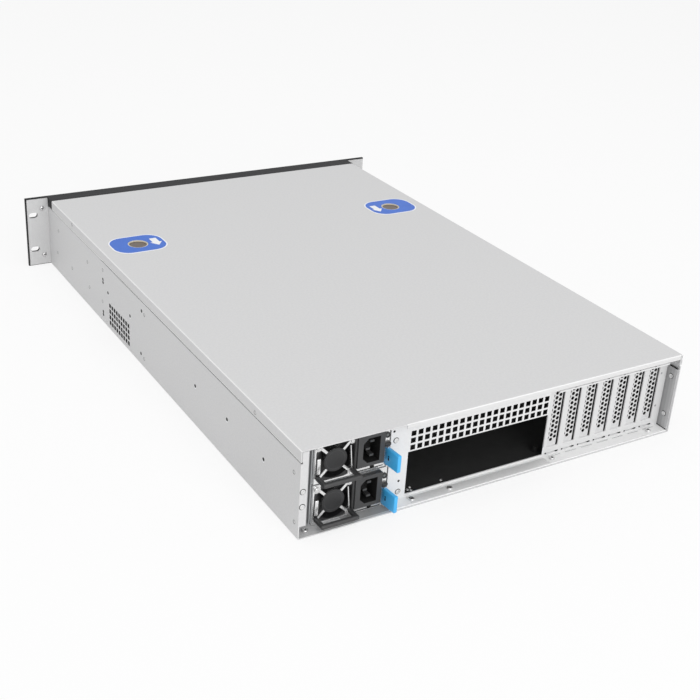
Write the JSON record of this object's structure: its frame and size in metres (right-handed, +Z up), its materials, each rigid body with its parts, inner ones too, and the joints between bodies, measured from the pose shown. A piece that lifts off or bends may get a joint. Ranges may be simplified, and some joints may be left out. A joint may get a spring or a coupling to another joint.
{
  "type": "rack server chassis",
  "caption": "Flat rack chassis with a sliding lid, hot-swap drive trays, perforated slot covers, a port opening and pull-out power supplies.",
  "frame": {"origin": "under the middle of the whole part, on the plane that it rests on", "axes": "+Z up, +Y to the rear, -Y to the front, +X to the power supplies"},
  "size_m": [0.4826, 0.6754, 0.0882],
  "materials": {
    "zinc_steel": "bright zinc-plated steel sheet, fine grain",
    "cover_steel": "satin zinc-plated steel sheet",
    "inner_steel": "plain zinc-plated steel sheet inside",
    "black_steel": "black powder coat",
    "blue_film": "printed plastic film, blue with a white outline",
    "cream_plastic": "moulded plastic",
    "brown_plastic": "dark moulded plastic",
    "black_plastic": "black moulded plastic",
    "grey_plastic": "dark grey moulded plastic",
    "tab_blue": "blue moulded plastic",
    "board_green": "printed circuit board",
    "screw_steel": "bright plated screws"
  },
  "bodies": {
    "chassis": {"chassis_tray": "zinc_steel", "rear_panel": "zinc_steel", "slot_cover_1": "zinc_steel", "slot_cover_2": "zinc_steel", "slot_cover_3": "zinc_steel", "slot_cover_4": "zinc_steel", "slot_cover_5": "zinc_steel", "slot_cover_6": "zinc_steel", "slot_cover_7": "zinc_steel", "ear_left": "zinc_steel", "ear_right": "zinc_steel", "front_bezel": "black_steel", "drive_cage": "inner_steel", "backplane": "board_green", "fan_wall": "inner_steel", "fan_frame_1": "black_plastic", "fan_frame_2": "black_plastic", "fan_frame_3": "black_plastic", "psu_cage": "inner_steel", "power_board": "board_green", "screws": "screw_steel"},
    "cover": {"top_cover": "cover_steel", "cover_label_left": "blue_film", "cover_label_right": "blue_film", "latch_cup_left": "cream_plastic", "latch_cup_right": "cream_plastic"},
    "cover_button_left": {"cover_button_left": "brown_plastic"},
    "cover_button_right": {"cover_button_right": "brown_plastic"},
    "psu_lower": {"psu_lower_case": "inner_steel", "psu_lower_fan_frame": "black_plastic", "psu_lower_inlet": "grey_plastic", "psu_lower_handle": "grey_plastic"},
    "psu_lower_fan": {"psu_lower_fan_rotor": "black_plastic"},
    "psu_lower_latch": {"psu_lower_latch": "tab_blue"},
    "psu_upper": {"psu_upper_case": "inner_steel", "psu_upper_fan_frame": "black_plastic", "psu_upper_inlet": "grey_plastic", "psu_upper_handle": "grey_plastic"},
    "psu_upper_fan": {"psu_upper_fan_rotor": "black_plastic"},
    "psu_upper_latch": {"psu_upper_latch": "tab_blue"},
    "fan_1": {"fan_rotor_1": "black_plastic"},
    "fan_2": {"fan_rotor_2": "black_plastic"},
    "fan_3": {"fan_rotor_3": "black_plastic"},
    "tray_1": {"drive_tray_1": "black_plastic"},
    "lever_1": {"tray_lever_1": "black_plastic"},
    "tray_2": {"drive_tray_2": "black_plastic"},
    "lever_2": {"tray_lever_2": "black_plastic"},
    "tray_3": {"drive_tray_3": "black_plastic"},
    "lever_3": {"tray_lever_3": "black_plastic"},
    "tray_4": {"drive_tray_4": "black_plastic"},
    "lever_4": {"tray_lever_4": "black_plastic"},
    "tray_5": {"drive_tray_5": "black_plastic"},
    "lever_5": {"tray_lever_5": "black_plastic"},
    "tray_6": {"drive_tray_6": "black_plastic"},
    "lever_6": {"tray_lever_6": "black_plastic"},
    "tray_7": {"drive_tray_7": "black_plastic"},
    "lever_7": {"tray_lever_7": "black_plastic"},
    "tray_8": {"drive_tray_8": "black_plastic"},
    "lever_8": {"tray_lever_8": "black_plastic"},
    "power_button": {"power_button": "black_plastic"}
  },
  "joints": [
    {"name": "cover_slide", "type": "slide", "parent": "chassis", "child": "cover", "axis": [0, 1, 0], "range_m": [0, 0.018]},
    {"name": "cover_button_left_press", "type": "slide", "parent": "cover", "child": "cover_button_left", "axis": [0, 0, -1], "range_m": [0, 0.003], "stiffness_N_per_m": 400, "springref_m": -0.002},
    {"name": "cover_button_right_press", "type": "slide", "parent": "cover", "child": "cover_button_right", "axis": [0, 0, -1], "range_m": [0, 0.003], "stiffness_N_per_m": 400, "springref_m": -0.002},
    {"name": "psu_lower_slide", "type": "slide", "parent": "chassis", "child": "psu_lower", "axis": [0, 1, 0], "range_m": [0, 0.185]},
    {"name": "psu_lower_latch_press", "type": "hinge", "parent": "psu_lower", "child": "psu_lower_latch", "pos_m": [0.122, 0.3201, 0.0126], "axis": [0, 0, -1], "range_deg": [0, 9], "stiffness_Nm_per_rad": 0.05, "springref_deg": -5.73},
    {"name": "psu_lower_fan_spin", "type": "hinge", "parent": "psu_lower", "child": "psu_lower_fan", "pos_m": [0.174, 0.3075, 0.0216], "axis": [0, 1, 0], "continuous": true},
    {"name": "psu_upper_slide", "type": "slide", "parent": "chassis", "child": "psu_upper", "axis": [0, 1, 0], "range_m": [0, 0.185]},
    {"name": "psu_upper_latch_press", "type": "hinge", "parent": "psu_upper", "child": "psu_upper_latch", "pos_m": [0.122, 0.3201, 0.0542], "axis": [0, 0, -1], "range_deg": [0, 9], "stiffness_Nm_per_rad": 0.05, "springref_deg": -5.73},
    {"name": "psu_upper_fan_spin", "type": "hinge", "parent": "psu_upper", "child": "psu_upper_fan", "pos_m": [0.174, 0.3075, 0.0632], "axis": [0, 1, 0], "continuous": true},
    {"name": "fan_1_spin", "type": "hinge", "parent": "chassis", "child": "fan_1", "pos_m": [-0.112, -0.0787, 0.0412], "axis": [0, 1, 0], "continuous": true},
    {"name": "fan_2_spin", "type": "hinge", "parent": "chassis", "child": "fan_2", "pos_m": [0, -0.0787, 0.0412], "axis": [0, 1, 0], "continuous": true},
    {"name": "fan_3_spin", "type": "hinge", "parent": "chassis", "child": "fan_3", "pos_m": [0.112, -0.0787, 0.0412], "axis": [0, 1, 0], "continuous": true},
    {"name": "tray_1_slide", "type": "slide", "parent": "chassis", "child": "tray_1", "axis": [0, -1, 0], "range_m": [0, 0.15]},
    {"name": "lever_1_swing", "type": "hinge", "parent": "tray_1", "child": "lever_1", "pos_m": [-0.2018, -0.3362, 0.013], "axis": [0, 0, -1], "range_deg": [0, 60]},
    {"name": "tray_2_slide", "type": "slide", "parent": "chassis", "child": "tray_2", "axis": [0, -1, 0], "range_m": [0, 0.15]},
    {"name": "lever_2_swing", "type": "hinge", "parent": "tray_2", "child": "lever_2", "pos_m": [-0.0966, -0.3362, 0.013], "axis": [0, 0, -1], "range_deg": [0, 60]},
    {"name": "tray_3_slide", "type": "slide", "parent": "chassis", "child": "tray_3", "axis": [0, -1, 0], "range_m": [0, 0.15]},
    {"name": "lever_3_swing", "type": "hinge", "parent": "tray_3", "child": "lever_3", "pos_m": [0.0086, -0.3362, 0.013], "axis": [0, 0, -1], "range_deg": [0, 60]},
    {"name": "tray_4_slide", "type": "slide", "parent": "chassis", "child": "tray_4", "axis": [0, -1, 0], "range_m": [0, 0.15]},
    {"name": "lever_4_swing", "type": "hinge", "parent": "tray_4", "child": "lever_4", "pos_m": [0.1138, -0.3362, 0.013], "axis": [0, 0, -1], "range_deg": [0, 60]},
    {"name": "tray_5_slide", "type": "slide", "parent": "chassis", "child": "tray_5", "axis": [0, -1, 0], "range_m": [0, 0.15]},
    {"name": "lever_5_swing", "type": "hinge", "parent": "tray_5", "child": "lever_5", "pos_m": [-0.2018, -0.3362, 0.0416], "axis": [0, 0, -1], "range_deg": [0, 60]},
    {"name": "tray_6_slide", "type": "slide", "parent": "chassis", "child": "tray_6", "axis": [0, -1, 0], "range_m": [0, 0.15]},
    {"name": "lever_6_swing", "type": "hinge", "parent": "tray_6", "child": "lever_6", "pos_m": [-0.0966, -0.3362, 0.0416], "axis": [0, 0, -1], "range_deg": [0, 60]},
    {"name": "tray_7_slide", "type": "slide", "parent": "chassis", "child": "tray_7", "axis": [0, -1, 0], "range_m": [0, 0.15]},
    {"name": "lever_7_swing", "type": "hinge", "parent": "tray_7", "child": "lever_7", "pos_m": [0.0086, -0.3362, 0.0416], "axis": [0, 0, -1], "range_deg": [0, 60]},
    {"name": "tray_8_slide", "type": "slide", "parent": "chassis", "child": "tray_8", "axis": [0, -1, 0], "range_m": [0, 0.15]},
    {"name": "lever_8_swing", "type": "hinge", "parent": "tray_8", "child": "lever_8", "pos_m": [0.1138, -0.3362, 0.0416], "axis": [0, 0, -1], "range_deg": [0, 60]},
    {"name": "power_button_press", "type": "slide", "parent": "chassis", "child": "power_button", "axis": [0, 1, 0], "range_m": [0, 0.0015], "stiffness_N_per_m": 500, "springref_m": -0.0015}
  ]
}
